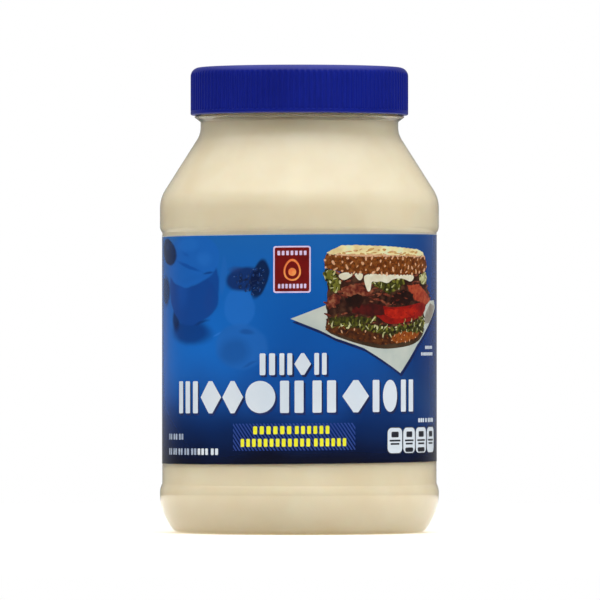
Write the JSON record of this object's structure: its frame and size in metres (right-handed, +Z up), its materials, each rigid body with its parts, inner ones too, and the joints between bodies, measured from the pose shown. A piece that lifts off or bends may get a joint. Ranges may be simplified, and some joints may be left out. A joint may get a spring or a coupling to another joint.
{
  "type": "mayonnaise jar",
  "caption": "Shut clear plastic jar of pale mayonnaise with rounded shoulders, a recessed wrap label and a low ribbed blue screw cap.",
  "frame": {"origin": "centre of the base, on the surface that the jar stands on", "axes": "+Z up along the jar's axis to the cap, -Y towards the middle of the label's front, +X to the right of that front"},
  "size_m": [0.0948, 0.0948, 0.158],
  "materials": {
    "clear_plastic": "clear stretch-blown PET, polished, faintly wavy",
    "mayonnaise": "pale cream emulsion, smooth, soft and slightly translucent",
    "printed_film": "flexo-printed white polypropylene film, satin",
    "cap_plastic": "injection-moulded polypropylene, royal blue, satin with fine upright ribs"
  },
  "bodies": {
    "root": {"jar": "clear_plastic", "mayonnaise": "mayonnaise", "label": "printed_film", "cap": "cap_plastic"}
  },
  "joints": []
}
